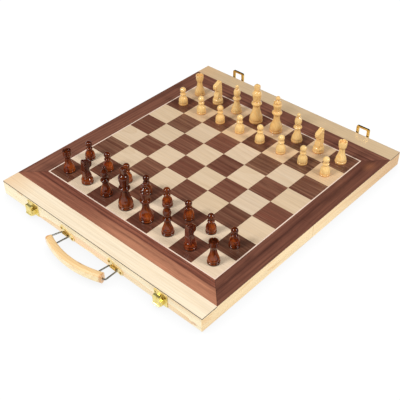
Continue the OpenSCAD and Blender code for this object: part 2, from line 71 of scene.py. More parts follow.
class Shader:
    """A material's node tree, built one call at a time. The methods return output sockets, apart
    from put and finish."""

    def __init__(self, name, **constants):
        self.material = bpy.data.materials.new(name)
        self.material.use_nodes = True
        self.tree = self.material.node_tree
        self.tree.nodes.clear()
        self.surface = self.tree.nodes.new("ShaderNodeBsdfPrincipled")
        output = self.tree.nodes.new("ShaderNodeOutputMaterial")
        self.tree.links.new(self.surface.outputs["BSDF"], output.inputs["Surface"])
        for socket, value in constants.items():
            self.surface.inputs[socket.replace("_", " ")].default_value = value

    def put(self, socket, value):
        """Feeds a socket from another socket, or sets its constant."""
        if isinstance(value, bpy.types.NodeSocket):
            self.tree.links.new(value, socket)
        elif value is not None:
            socket.default_value = value

    def node(self, kind, inputs=(), out=0, **settings):
        made = self.tree.nodes.new("ShaderNode" + kind)
        for key, value in settings.items():
            setattr(made, key, value)
        for key, value in dict(inputs).items():
            self.put(made.inputs[key], value)
        return made.outputs[out]

    def point(self):
        return self.node("TexCoord", out="Object")

    def calc(self, operation, a, b=None, c=None, clamp=False):
        values = {i: v for i, v in enumerate((a, b, c)) if v is not None}
        return self.node("Math", values, operation=operation, use_clamp=clamp)

    def vector(self, operation, a, b=None, scale=None):
        values = {i: v for i, v in enumerate((a, b)) if v is not None}
        if scale is not None:
            values["Scale"] = scale
        out = "Value" if operation in ("LENGTH", "DOT_PRODUCT") else "Vector"
        return self.node("VectorMath", values, out, operation=operation)

    def parts(self, vector):
        made = self.tree.nodes.new("ShaderNodeSeparateXYZ")
        self.put(made.inputs[0], vector)
        return made.outputs[0], made.outputs[1], made.outputs[2]

    def join(self, x, y, z):
        return self.node("CombineXYZ", {0: x, 1: y, 2: z})

    def noise(self, vector, scale, detail=2.0, roughness=0.5, distortion=0.0):
        return self.node("TexNoise", {"Vector": vector, "Scale": scale, "Detail": detail,
                                      "Roughness": roughness, "Distortion": distortion})

    def drawn_out(self, parts, along, across):
        """Noise coordinates that are drawn out along X, in features per metre."""
        return self.join(*(self.calc("MULTIPLY", part, rate)
                           for part, rate in zip(parts, (along, across, across))))

    def random(self, vector, out="Value"):
        return self.node("TexWhiteNoise", {"Vector": vector}, out, noise_dimensions="3D")

    def ranged(self, value, low, high, to_low=0.0, to_high=1.0):
        return self.node("MapRange", {0: value, 1: low, 2: high, 3: to_low, 4: to_high}, clamp=True)

    def ramp(self, value, *stops):
        made = self.tree.nodes.new("ShaderNodeValToRGB")
        self.put(made.inputs[0], value)
        elements = made.color_ramp.elements
        while len(elements) < len(stops):
            elements.new(1.0)
        for element, (place, colour) in zip(elements, stops):
            element.position = place
            element.color = colour
        return made.outputs[0]

    def mix(self, share, a, b, blend="MIX"):
        made = self.tree.nodes.new("ShaderNodeMix")
        made.data_type = "RGBA"
        made.blend_type = blend
        colours = [s for s in made.inputs if s.type == "RGBA"]
        self.put(made.inputs[0], share)
        self.put(colours[0], a)
        self.put(colours[1], b)
        return next(s for s in made.outputs if s.type == "RGBA")

    def blend(self, share, a, b):
        """Number between a and b."""
        return self.node("MapRange", {0: share, 1: 0.0, 2: 1.0, 3: a, 4: b}, clamp=True)

    def bump(self, height, distance, strength=1.0, normal=None):
        return self.node("Bump", {"Height": height, "Distance": distance, "Strength": strength,
                                  "Normal": normal})

    def finish(self, **sockets):
        for socket, value in sockets.items():
            self.put(self.surface.inputs[socket.replace("_", " ")], value)
        return self.material


# ---------------------------------------------------------------- wood
PITH_DEPTH = 32 * MM
PITH_SLOPE = 0.05
GRAIN_SWAY = 14 * MM
GROOVE_REACH = 5 * MM
SATIN = {"Coat_Weight": 0.35, "Coat_Roughness": 0.22}


def along_x(s):
    """Grain along X over the whole part."""
    return s.point(), s.random(s.join(0.0, 0.0, 0.0))


def apart(s, point, mark, spread=(1.7, 0.09, 0.05)):
    """Moves a part's grain to a place of its own in the timber. mark is a vector that differs
    from part to part. Returns the moved point and a random number for the part's tone."""
    chance = s.vector("SUBTRACT", s.random(mark, "Color"), (0.5, 0.5, 0.5))
    return s.vector("ADD", point, s.vector("MULTIPLY", chance, spread)), s.random(mark)


def by_square(s):
    """Each square is cut from another place of the sheet, with its grain along X."""
    cell = s.vector("FLOOR", s.vector("SCALE", s.point(), scale=1 / SQUARE))
    x, y, _ = s.parts(cell)
    return apart(s, s.point(), s.join(x, y, 7.0), (1.7, 0.11, 0.02))


def turned_round(s, point, side):
    """Swaps X and Y where side is 1, so that the grain follows strips that run along Y."""
    x, y, z = s.parts(point)
    return s.join(s.blend(side, x, y), s.blend(side, y, x), z)


def by_strip(s):
    """Border strips meet in mitres: the side ones have their grain along Y."""
    x, y, _ = s.parts(s.point())
    side = s.calc("GREATER_THAN", s.calc("ABSOLUTE", x), s.calc("ABSOLUTE", y))
    mark = s.join(s.calc("MULTIPLY_ADD", s.calc("SIGN", x), side, 2.0),
                  s.calc("MULTIPLY_ADD", s.calc("SIGN", y), s.calc("SUBTRACT", 1.0, side), 2.0),
                  side)
    return apart(s, turned_round(s, s.point(), side), mark)


def by_rail(s):
    """Rails: along Y at the sides, along X at the ends and the fold, with mitred corners."""
    x, y, _ = s.parts(s.point())
    from_side = s.calc("SUBTRACT", HALF_W, s.calc("ABSOLUTE", x))
    from_fold = s.calc("ABSOLUTE", y)
    from_end = s.calc("SUBTRACT", HALF_L, from_fold)
    side = s.calc("LESS_THAN", from_side, s.calc("MINIMUM", from_end, from_fold))
    end = s.calc("LESS_THAN", from_end, from_fold)
    mark = s.join(s.calc("MULTIPLY_ADD", s.calc("SIGN", x), side, 2.0), s.calc("SIGN", y),
                  s.calc("MULTIPLY", end, s.calc("SUBTRACT", 1.0, side)))
    return apart(s, turned_round(s, s.point(), side), mark)


def upright(s):
    """Turned pieces: grain along Z, each piece with a place of its own in the timber."""
    x, y, z = s.parts(s.point())
    luck = s.node("ObjectInfo", out="Random")
    return apart(s, s.join(z, x, y), s.join(luck, 3.0, 5.0), (0.9, 0.03, 0.03))


def timber(name, grain, early, late, streak, ring=5 * MM, ring_share=0.5, streak_share=0.4,
           fibre_share=0.3, pore_share=0.0, tone=0.12, lean_to=None, lean_share=0.0,
           streak_width=8 * MM, relief=0.006 * MM, painted_groove_shade=None, tint=None, **finish):
    """Lacquered wood: growth rings round a pith beside the part, broad streaks, fibres and pores,
    and a tone of its own for each part. lean_to is a second colour that some parts lean to, the
    colour for deep turned grooves is painted shade there, and tint may recolour the wood by place,
    which in some woods paints in light and shade."""
    s = Shader(name, **finish)
    point, luck = grain(s)
    x, y, z = s.parts(point)
    sway = s.calc("SUBTRACT", s.noise(s.drawn_out((x, y, z), 5.0, 38.0), 1.0, 3.0, 0.55), 0.5)
    lean = s.calc("MULTIPLY_ADD", x, PITH_SLOPE, PITH_DEPTH)
    across = s.calc("MULTIPLY_ADD", sway, GRAIN_SWAY, y)
    depth = s.calc("ADD", z, lean)
    radius = s.vector("LENGTH", s.join(across, depth, 0.0))
    phase = s.calc("FRACT", s.calc("DIVIDE", radius, ring))
    rings = s.calc("POWER", phase, 2.2)
    broad = s.noise(s.join(s.calc("MULTIPLY", x, 7.0), s.calc("DIVIDE", across, streak_width),
                           s.calc("DIVIDE", z, streak_width)), 1.0, 3.0, 0.6)
    streaks = s.ranged(broad, 0.42, 0.7)
    fibres = s.noise(s.drawn_out((x, y, z), 12.0, 430.0), 1.0, 5.0, 0.7)
    colour = s.mix(s.calc("MULTIPLY", rings, ring_share), early, late)
    colour = s.mix(s.calc("MULTIPLY", streaks, streak_share), colour, streak)
    if lean_share:
        other = s.calc("FRACT", s.calc("MULTIPLY", luck, 7.31))
        colour = s.mix(s.calc("MULTIPLY", other, lean_share), colour, lean_to)
    if tint:
        colour = tint(s, colour)
    if painted_groove_shade:
        # Painted shade: where the ambient-occlusion node finds deep grooves, the colour moves
        # towards the colour for grooves.
        open_sky = s.node("AmbientOcclusion", {"Distance": GROOVE_REACH}, "AO", samples=8)
        colour = tinted(s, colour, painted_groove_shade, 0.9, s.ranged(open_sky, 0.92, 0.42))
    shade = s.calc("MULTIPLY_ADD", s.calc("SUBTRACT", fibres, 0.5), fibre_share, 1.0)
    shade = s.calc("MULTIPLY", shade, s.blend(luck, 1.0 - tone, 1.0 + tone))
    height = fibres
    if pore_share:
        dashes = s.noise(s.drawn_out((x, y, z), 130.0, 2400.0), 1.0, 1.0, 0.4)
        pores = s.ranged(dashes, 0.6, 0.72)
        shade = s.calc("MULTIPLY", shade, s.calc("MULTIPLY_ADD", pores, -pore_share, 1.0))
        height = s.calc("SUBTRACT", fibres, pores)
    colour = s.mix(1.0, colour, s.join(shade, shade, shade), "MULTIPLY")
    rough = s.calc("MULTIPLY_ADD", fibres, 0.12, s.surface.inputs["Roughness"].default_value)
    return s.finish(Base_Color=colour, Roughness=rough, Normal=s.bump(height, relief))


def both(s, *masks):
    """Where every mask holds."""
    held = masks[0]
    for mask in masks[1:]:
        held = s.calc("MULTIPLY", held, mask)
    return held


def tinted(s, colour, target, share, *masks):
    """The colour, moved by a share of the way to the target where every mask holds."""
    return s.mix(s.calc("MULTIPLY", both(s, *masks), share), colour, target)


def wavy_line(s, across, along, centre, half_width, wander, seed):
    """A soft dark figure line that wanders along a strip and swells here and there."""
    path = s.noise(s.join(s.calc("MULTIPLY", along, 11.0), seed, 0.0), 1.0, 2.0, 0.5)
    swell = s.noise(s.join(s.calc("MULTIPLY", along, 24.0), seed + 5.0, 0.0), 1.0, 2.0, 0.5)
    off = s.calc("SUBTRACT", across,
                 s.calc("MULTIPLY_ADD", s.calc("SUBTRACT", path, 0.5), 2 * wander, centre))
    width = s.calc("MULTIPLY", s.ranged(swell, 0.3, 0.75, 0.5, 2.4), half_width)
    return s.calc("SUBTRACT", 1.0, s.calc("DIVIDE", s.calc("ABSOLUTE", off), width), clamp=True)


# ---------------------------------------------------------------- wood materials
# Tints that go by place imitate the photo's light as well as its wood. They stay the same from
# every side and in any other light.
def by_the_pieces(s):
    """Returns y and where the two rows of squares at each end are, which the pieces' own colour and
    shade reach: the wood there gets painted shade and painted reflected colour."""
    _, y, _ = s.parts(s.point())
    return y, s.calc("GREATER_THAN", s.calc("ABSOLUTE", y), FIELD / 2)


def walnut():
    def painted_shade_at_ends(s, colour):
        y, ends = by_the_pieces(s)
        # Painted shadow and painted reflection of the pieces: the dark squares of the end rows go
        # darker and redder, the near end more than the far end.
        return tinted(s, colour, srgb(78, 32, 12), 0.4, ends, s.ranged(y, 0.01, -0.01, 0.5, 1.0))
    return timber("walnut", by_square, early=srgb(114, 72, 52), late=srgb(80, 46, 35),
                  streak=srgb(152, 112, 86), ring=2.7 * MM, ring_share=0.6, streak_share=0.75,
                  streak_width=3.6 * MM, fibre_share=1.6, pore_share=0.2, tone=0.13,
                  lean_to=srgb(122, 66, 52), lean_share=0.5, tint=painted_shade_at_ends,
                  Roughness=0.34, **SATIN)


def maple():
    def painted_light_at_ends(s, colour):
        y, ends = by_the_pieces(s)
        # Painted reflection and painted light: the light squares of the end rows are warmer and
        # golden at the far end, and paler at the near end.
        colour = tinted(s, colour, srgb(222, 172, 108), 0.3, ends, s.ranged(y, 0.0, 0.01))
        return tinted(s, colour, srgb(248, 226, 200), 0.4, ends, s.ranged(y, 0.0, -0.01))

    def pinker_line_and_painted_ends(s, colour):
        x, y, _ = s.parts(s.point())
        reach = s.calc("MAXIMUM", s.calc("ABSOLUTE", x), s.calc("ABSOLUTE", y))
        # The end rows get their painted reflection and painted light here; the line itself keeps
        # its own pinker colour.
        colour = painted_light_at_ends(s, colour)
        return s.mix(s.calc("GREATER_THAN", reach, FIELD), colour, srgb(246, 220, 200))
    return timber("maple", by_square, early=srgb(224, 199, 169), late=srgb(206, 176, 141),
                  streak=srgb(234, 212, 185), ring=4.5 * MM, ring_share=0.45, streak_share=0.5,
                  fibre_share=0.45, tone=0.045, lean_to=srgb(222, 192, 150), lean_share=0.4,
                  tint=pinker_line_and_painted_ends, Roughness=0.36, **SATIN)


def walnut_border():
    def figure_and_painted_light(s, colour):
        x, y, _ = s.parts(s.point())
        reach_x, reach_y = s.calc("ABSOLUTE", x), s.calc("ABSOLUTE", y)
        side = s.calc("GREATER_THAN", reach_x, reach_y)
        end = s.calc("SUBTRACT", 1.0, side)
        near = both(s, end, s.calc("LESS_THAN", y, 0.0))
        right = both(s, side, s.calc("GREATER_THAN", x, 0.0))
        in_end = s.calc("SUBTRACT", reach_y, LINE_EDGE)
        in_side = s.calc("SUBTRACT", reach_x, LINE_EDGE)
        outer = s.ranged(in_end, 8 * MM, 15 * MM)
        # Painted light: the near border is painted redder, and its outer band paler and more
        # orange, more so towards the right.
        colour = tinted(s, colour, srgb(150, 74, 52), 0.25, near)
        colour = tinted(s, colour, srgb(214, 150, 114), 0.46, near, outer,
                        s.ranged(x, -0.06, 0.03, 0.25, 1.0))
        for centre, width, wander, share, seed in ((10, 1.5, 4, 0.85, 2.0), (4, 1, 3, 0.65, 31.0),
                                                   (18, 2.2, 9, 0.35, 77.0)):
            line = wavy_line(s, in_end, x, centre * MM, width * MM, wander * MM, seed)
            colour = tinted(s, colour, srgb(88, 46, 36), share, end, line)
        band = wavy_line(s, in_side, y, 13 * MM, 4.5 * MM, 8 * MM, 57.0)
        # Painted shade: the right-hand border is painted darker. The wandering band in it is figure
        # of the wood.
        colour = tinted(s, colour, srgb(98, 54, 40), 0.45, right)
        colour = tinted(s, colour, srgb(70, 36, 28), 0.6, right, band)
        # Painted light: a paler red-brown patch near the far end of the right-hand border.
        patch = s.vector("LENGTH", s.vector("DIVIDE", s.vector(
            "SUBTRACT", s.point(), (0.178, 0.158, TOP)), (10 * MM, 16 * MM, 10 * MM)))
        colour = tinted(s, colour, srgb(158, 100, 66), 0.5, right, s.ranged(patch, 1.0, 0.2))
        mitre = s.calc("LESS_THAN", s.calc("ABSOLUTE", s.calc("SUBTRACT", reach_x, reach_y)),
                       0.3 * MM)
        return tinted(s, colour, srgb(62, 34, 26), 0.8, mitre)
    return timber("walnut_border", by_strip, early=srgb(140, 90, 70), late=srgb(100, 58, 46),
                  streak=srgb(92, 52, 42), ring=6 * MM, ring_share=0.7, streak_share=0.6,
                  fibre_share=1.4, pore_share=0.2, tone=0.08, tint=figure_and_painted_light,
                  Roughness=0.34, **SATIN)


def end_maple():
    def painted_shading_and_sawn_faces(s, colour):
        x, y, _ = s.parts(s.point())
        # Painted shade and light: the far end strip is painted darker, and the left ends of both
        # end strips a warmer orange. The sawn faces are the wood's darker end grain.
        colour = tinted(s, colour, srgb(211, 180, 138), 0.8, s.ranged(y, -0.01, 0.01))
        colour = tinted(s, colour, srgb(232, 190, 142), 0.6, s.ranged(x, -0.135, -0.185))
        sawn = s.calc("MAXIMUM", s.calc("GREATER_THAN", s.calc("ABSOLUTE", x),
                                        HALF_W - 0.1 * MM),
                      s.calc("GREATER_THAN", s.calc("ABSOLUTE", y), HALF_L - 0.1 * MM))
        return tinted(s, colour, srgb(84, 72, 50), 0.85, sawn)
    return timber("end_maple", by_strip, early=srgb(245, 226, 196), late=srgb(231, 206, 168),
                  streak=srgb(249, 235, 210), ring=3.2 * MM, ring_share=0.5, streak_share=0.5,
                  fibre_share=0.5, tone=0.02, tint=painted_shading_and_sawn_faces, Roughness=0.36, **SATIN)


def knot(s, colour, centre, size, heart):
    """A small knot in the wood, stretched along the grain."""
    offset = s.vector("SUBTRACT", s.point(), centre)
    reach = s.vector("LENGTH", s.vector("DIVIDE", offset, size))
    return tinted(s, colour, heart, 0.65, s.ranged(reach, 1.0, 0.35))


def pine():
    def knots_and_painted_light(s, colour):
        x, y, _ = s.parts(s.point())
        # Painted light and shade: the right-hand faces of the rails are painted yellower, and
        # darker and browner towards the far end. The knots are the wood's own.
        right = s.calc("GREATER_THAN", x, HALF_W - 1.5 * MM)
        colour = tinted(s, colour, srgb(255, 214, 146), 0.55, right)
        colour = tinted(s, colour, srgb(206, 158, 100), 0.85, right, s.ranged(y, 0.02, 0.2))
        colour = knot(s, colour, (HALF_W - 13 * MM, -HALF_L, 6 * MM), (6 * MM, 9 * MM, 3 * MM),
                      srgb(212, 146, 92))
        return knot(s, colour, (-0.01, -HALF_L, 9 * MM), (60 * MM, 10 * MM, 2.5 * MM),
                    srgb(242, 196, 158))
    return timber("pine", by_rail, early=srgb(251, 234, 194), late=srgb(228, 172, 106),
                  streak=srgb(253, 240, 208), ring=5.2 * MM, ring_share=0.75, streak_share=0.4,
                  fibre_share=0.6, tone=0.03, tint=knots_and_painted_light, Roughness=0.4,
                  Coat_Weight=0.3, Coat_Roughness=0.25)


def grip_wood():
    def painted_shading_and_knot(s, colour):
        x, _, z = s.parts(s.point())
        # Painted light and shade: the top of the grip is painted a darker, warmer orange than its
        # sides, and its end faces a deeper orange. The knot is the wood's own.
        colour = tinted(s, colour, srgb(228, 176, 112), 0.55, s.ranged(z, 15 * MM, 18 * MM))
        ends = s.ranged(s.calc("ABSOLUTE", s.calc("ADD", x, 5 * MM)), 50.5 * MM, 52.5 * MM)
        colour = tinted(s, colour, srgb(206, 140, 76), 0.7, ends)
        return knot(s, colour, (0.012, -HALF_L - 31 * MM, 19 * MM), (8 * MM, 2.5 * MM, 3 * MM),
                    srgb(168, 112, 66))
    return timber("grip_wood", along_x, early=srgb(252, 230, 178), late=srgb(234, 188, 128),
                  streak=srgb(254, 238, 196), ring=3.6 * MM, ring_share=0.6, streak_share=0.4,
                  fibre_share=0.22, tone=0.0, tint=painted_shading_and_knot, Roughness=0.32, Coat_Weight=0.5,
                  Coat_Roughness=0.12)


def boxwood():
    return timber("boxwood", upright, early=srgb(251, 212, 140), late=srgb(238, 178, 98),
                  streak=srgb(254, 228, 168), ring=2.6 * MM, ring_share=0.55, streak_share=0.4,
                  fibre_share=0.35, tone=0.06, lean_to=srgb(238, 178, 100), lean_share=0.4,
                  # The colour for deep grooves below is painted shade.
                  relief=0.003 * MM, painted_groove_shade=srgb(214, 138, 62), Roughness=0.35,
                  Specular_IOR_Level=0.2, Coat_Weight=1.0, Coat_Roughness=0.06)


def mahogany():
    def painted_shade_on_head_and_rim(s, colour):
        _, _, z = s.parts(s.point())
        # Painted shade: the lowest rim and the upper part of each dark piece are painted darker.
        colour = tinted(s, colour, srgb(30, 9, 5), 0.6, s.ranged(z, 2.4 * MM, 1.2 * MM))
        return tinted(s, colour, srgb(46, 13, 6), 0.6, s.ranged(z, 12 * MM, 24 * MM))
    return timber("mahogany", upright, early=srgb(120, 44, 15), late=srgb(28, 8, 4),
                  streak=srgb(208, 104, 38), ring=3.2 * MM, ring_share=0.85, streak_share=0.6,
                  fibre_share=1.0, tone=0.3, relief=0.003 * MM,
                  # The colour for deep grooves here is painted shade.
                  tint=painted_shade_on_head_and_rim, painted_groove_shade=srgb(22, 6, 3), Roughness=0.5,
                  Specular_IOR_Level=0.0, Coat_Weight=1.0, Coat_Roughness=0.05)


def panel_core():
    def lipped(s, colour):
        x, y, _ = s.parts(s.point())
        edge = s.calc("GREATER_THAN", s.calc("ABSOLUTE", x), HALF_W - 0.5 * MM)
        return tinted(s, colour, srgb(250, 218, 164), 0.94, edge,
                      s.calc("LESS_THAN", s.calc("ABSOLUTE", y), HALF_W))
    return timber("panel_core", along_x, early=srgb(62, 52, 44), late=srgb(44, 36, 30),
                  streak=srgb(76, 64, 52), ring=2 * MM, ring_share=0.4, streak_share=0.4,
                  fibre_share=0.4, tone=0.0, tint=lipped, Roughness=0.6)


# ---------------------------------------------------------------- metal and felt
def plated(name, bright, dull, rough, metallic=1.0, plate=None):
    """Bright metal with faint polishing marks, handling smudges and a duller tone in places. plate
    is the paler colour of all that doesn't stand out from the ends of the case, less metallic too:
    a painted reflection that makes the flat plates look brighter."""
    s = Shader(name, Metallic=metallic)
    point = s.point()
    marks = s.noise(point, 500.0, 3.0, 0.65)
    smudge = s.noise(point, 210.0, 3.0, 0.6)
    colour = s.mix(s.ranged(smudge, 0.35, 0.75), bright, dull)
    if plate:
        # Painted reflection: the flat plates are paler and less metallic than the brass that stands
        # out.
        _, y, _ = s.parts(point)
        flat = s.calc("LESS_THAN", s.calc("ABSOLUTE", y), HALF_L + 1.25 * MM)
        colour = tinted(s, colour, plate, 0.85, flat)
        s.put(s.surface.inputs["Metallic"], s.blend(flat, metallic, 0.45))
    roughness = s.calc("ADD", s.calc("MULTIPLY_ADD", smudge, 0.16, rough - 0.08),
                       s.calc("MULTIPLY", marks, 0.05))
    return s.finish(Base_Color=colour, Roughness=roughness,
                    Normal=s.bump(marks, 0.02 * MM, 0.5))


def felt():
    s = Shader("felt", Roughness=0.95, Sheen_Weight=0.6, Sheen_Roughness=0.5)
    point = s.point()
    fuzz = s.noise(point, 2600.0, 3.0, 0.7)
    tufts = s.noise(point, 240.0, 2.0, 0.5)
    share = s.calc("MULTIPLY_ADD", tufts, 0.5, s.calc("MULTIPLY", fuzz, 0.5))
    colour = s.ramp(share, (0.3, srgb(14, 52, 32)), (0.7, srgb(36, 92, 58)))
    return s.finish(Base_Color=colour, Normal=s.bump(fuzz, 0.25 * MM, 0.8))


MATERIALS = {
    "panel_core": panel_core(), "walnut": walnut(), "maple": maple(),
    "walnut_border": walnut_border(), "end_maple": end_maple(), "pine": pine(),
    "grip_wood": grip_wood(), "felt": felt(), "boxwood": boxwood(), "mahogany": mahogany(),
    "brass": plated("brass", srgb(232, 196, 112), srgb(182, 138, 56), 0.26,
                    plate=srgb(252, 232, 170)),
    "latch_brass": plated("latch_brass", srgb(255, 240, 164), srgb(230, 200, 96), 0.3, 0.8),
    "brass_screw": plated("brass_screw", srgb(214, 176, 90), srgb(150, 112, 50), 0.28),
    "steel": plated("steel", srgb(150, 150, 144), srgb(100, 100, 96), 0.3),
}
SLOT_OF = {part["node"]: part["material_slot"] for part in frame["record"]["subparts"]}


# ---------------------------------------------------------------- mesh helpers
def mesh_object(name, vertices, faces):
    """Object from vertices in mm."""
    mesh = bpy.data.meshes.new(name)
    mesh.from_pydata([Vector(v) * MM for v in vertices], [], faces)
    mesh.validate()
    made = bpy.data.objects.new(name, mesh)
    bpy.context.scene.collection.objects.link(made)
    return made


def curve(points, steps):
    """Points on a smooth curve through the given ones."""
    found = []
    last = len(points) - 1
    for i in range(last):
        p0, p1 = points[max(i - 1, 0)], points[i]
        p2, p3 = points[i + 1], points[min(i + 2, last)]
        for j in range(steps):
            t = j / steps
            found.append(tuple(
                0.5 * (2 * b + (c - a) * t + (2 * a - 5 * b + 4 * c - d) * t * t
                       + (3 * b - a - 3 * c + d) * t * t * t)
                for a, b, c, d in zip(p0, p1, p2, p3)))
    return found + [points[last]]


def arc(cx, cy, radius, start, stop, steps):
    angles = [math.radians(start + (stop - start) * i / steps) for i in range(steps + 1)]
    return [(cx + radius * math.cos(a), cy + radius * math.sin(a)) for a in angles]


def lathe(name, profile, segments=96):
    """Closed turned solid from (radius, height) points in mm, listed from the axis below to the
    axis above."""
    inner = profile[1:-1]
    vertices = [(0, 0, profile[0][1]), (0, 0, profile[-1][1])]
    for radius, height in inner:
        for k in range(segments):
            a = 2 * math.pi * k / segments
            vertices.append((radius * math.cos(a), radius * math.sin(a), height))
    faces = []
    for k in range(segments):
        n = (k + 1) % segments
        faces.append((0, 2 + n, 2 + k))
        top = 2 + (len(inner) - 1) * segments
        faces.append((1, top + k, top + n))
        for ring in range(len(inner) - 1):
            low = 2 + ring * segments
            faces.append((low + k, low + n, low + segments + n, low + segments + k))
    return mesh_object(name, vertices, faces)


def prism(name, outline, depth, turned=Matrix.Identity(4)):
    """Outline in the XY plane, made depth mm thick about that plane, then turned."""
    count = len(outline)
    vertices = [(x, y, z) for z in (-depth / 2, depth / 2) for x, y in outline]
    faces = [tuple(reversed(range(count))), tuple(range(count, 2 * count))]
    faces += [(i, (i + 1) % count, count + (i + 1) % count, count + i) for i in range(count)]
    made = mesh_object(name, vertices, faces)
    made.data.transform(turned)
    return made


def turn(degrees, axis):
    return Matrix.Rotation(math.radians(degrees), 4, axis)


def shift(x, y, z):
    return Matrix.Translation(Vector((x, y, z)) * MM)


def bake(made):
    """Replaces an object's mesh with what its modifiers make of it."""
    graph = bpy.context.evaluated_depsgraph_get()
    mesh = bpy.data.meshes.new_from_object(made.evaluated_get(graph), depsgraph=graph)
    made.modifiers.clear()
    made.data = mesh
    return made


def combine(made, tool, operation):
    """Boolean of two closed solids. The tool is used up."""
    step = made.modifiers.new("join", "BOOLEAN")
    step.operation = operation
    step.solver = "EXACT"
    step.object = tool
    bake(made)
    bpy.data.objects.remove(tool)
    return made


def soften(made, width=0.25, angle=40):
    """Rounds the sharp edges that carving has left."""
    step = made.modifiers.new("soften", "BEVEL")
    step.width = width * MM
    step.segments = 2
    step.limit_method = "ANGLE"
    step.angle_limit = math.radians(angle)
    step.use_clamp_overlap = True
    return bake(made)


def smooth(made, angle=35):
    made.data.shade_smooth()
    made.data.set_sharp_from_angle(angle=math.radians(angle))
    return made


# ---------------------------------------------------------------- turned pieces, in mm
STEPS = 8  # in each span of a curve


def base(radius, height):
    """Foot of a piece: flat underneath, with a rounded plinth."""
    return ([(0, 0), (radius - 1.2, 0)] + arc(radius - 0.5, 0.5, 0.5, -90, 0, 4)
            + arc(radius - 0.9, height - 0.9, 0.9, 0, 90, 6))


def king():
    profile = (base(10.7, 3.8)
               + curve([(9.9, 4.2), (10.3, 6), (10.1, 9.2), (9.2, 12.6), (7.9, 16.2), (6.4, 21),
                        (5.5, 25.6), (5.1, 28.6)], STEPS)
               + curve([(5.7, 29.1), (6.1, 29.9), (5.7, 30.7)], STEPS)
               + curve([(6.4, 31), (7.8, 32), (8.1, 33.4), (7.4, 35), (5.9, 36.1)], STEPS)
               + curve([(5.5, 36.7), (5.9, 38.4), (6.3, 42), (7, 46.5), (7.6, 49.6)], STEPS)
               + curve([(7.6, 50.6), (7, 52.4), (6, 54.2), (4.6, 55.6), (2.8, 56.5)], STEPS)
               + [(0, 56.8)])
    made = lathe("king", profile)
    right_half = (curve([(4, 53), (3.6, 57.2), (4.3, 59.8)], STEPS)
                  + curve([(4.35, 60.6), (4.3, 63.4), (3.8, 65.2), (2.8, 66)], STEPS))
    slab = right_half + [(-x, z) for x, z in reversed(right_half)]
    finial = soften(prism("finial", slab, 5.2, turn(90, "X")), 0.7)
    return smooth(combine(made, finial, "UNION"))


def queen():
    profile = (base(10, 3.8)
               + curve([(9.3, 4.2), (9.8, 6), (9.7, 9), (8.7, 12), (7, 15.6), (5.6, 19.6),
                        (4.9, 23.4), (4.6, 28)], STEPS)
               + curve([(5.1, 28.6), (5.5, 29.6), (5.1, 30.6)], STEPS)
               + curve([(6.3, 31), (7.6, 32.4), (7.9, 34), (7, 35.7), (5.5, 36.6)], STEPS)
               + curve([(5.2, 37.1), (5.4, 39.2), (6, 42.6), (6.9, 46.4)], STEPS)
               + curve([(7, 47.2), (6.5, 48.8), (5.3, 49.8)], STEPS)
               + curve([(5.2, 50.2), (6, 51.3), (5.8, 52.6), (4.4, 54)], STEPS) + [(2.8, 54.9)]
               + arc(0, 58.6, 3.6, -54, 84, 18) + [(0, 62.2)])
    made = lathe("queen", profile)
    for k in range(8):
        notch = prism("notch", arc(0, 0, 0.9, 0, 345, 23), 4, turn(90, "Y"))
        notch.data.transform(turn(k * 45 + 22.5, "Z") @ shift(7, 0, 52.9))
        combine(made, notch, "DIFFERENCE")
    return smooth(soften(made, 0.15, 50))


def bishop():
    profile = (base(8.7, 3.6)
               + curve([(7.8, 4), (8.1, 5.6), (7.7, 8.2), (6.2, 12.2), (4.8, 16.6), (4.1, 20.6),
                        (3.9, 22.6)], STEPS)
               + curve([(4.5, 23), (6.1, 24), (6.5, 25.4), (5.8, 26.8), (4.3, 27.6)], STEPS)
               + curve([(4, 28.1), (4.3, 29.8), (5.2, 33), (5.5, 36.4), (4.7, 40.2), (2.5, 43.8)],
                       STEPS)
               + arc(0, 46.6, 2.9, -45, 84, 14) + [(0, 49.5)])
    made = lathe("bishop", profile)
    slot = prism("slot", [(-8, 1), (8, 1), (8, 9), (-8, 9)], 1)
    slot.data.transform(shift(0, 0, 41) @ turn(38, "X"))
    return smooth(soften(combine(made, slot, "DIFFERENCE"), 0.15, 50))


def rook():
    profile = (base(8.6, 3.6)
               + curve([(7.7, 4), (8, 5.6), (7.5, 8.4), (6, 12.6), (4.8, 17), (4.2, 21.4),
                        (4.2, 24.2)], STEPS)
               + curve([(4.8, 24.8), (5.8, 27.4), (6.3, 31), (6.4, 36)], STEPS)
               + [(6.2, 36.3), (5.1, 36.3), (4.9, 36), (4.6, 33.6), (4.4, 33.3), (0, 33.2)])
    made = lathe("rook", profile)
    for k in range(3):
        notch = prism("notch", [(-8, 35.3), (8, 35.3), (8, 38), (-8, 38)], 1.2, turn(90, "X"))
        notch.data.transform(turn(k * 60 + 15, "Z"))
        combine(made, notch, "DIFFERENCE")
    return smooth(soften(made, 0.15, 50))


def pawn():
    profile = (base(7.6, 3.2)
               + curve([(7, 3.6), (7.4, 5.2), (7.2, 8.6), (6.4, 11.4), (4.9, 13.8), (3.7, 15.8),
                        (3.5, 17)], STEPS)
               + curve([(4.1, 17.4), (4.9, 18.5), (4.7, 19.6), (3.7, 20.4)], STEPS)
               + [(3.3, 21.2)] + arc(0, 26, 4.95, -50, 85, 20) + [(0, 30.95)])
    return smooth(lathe("pawn", profile))


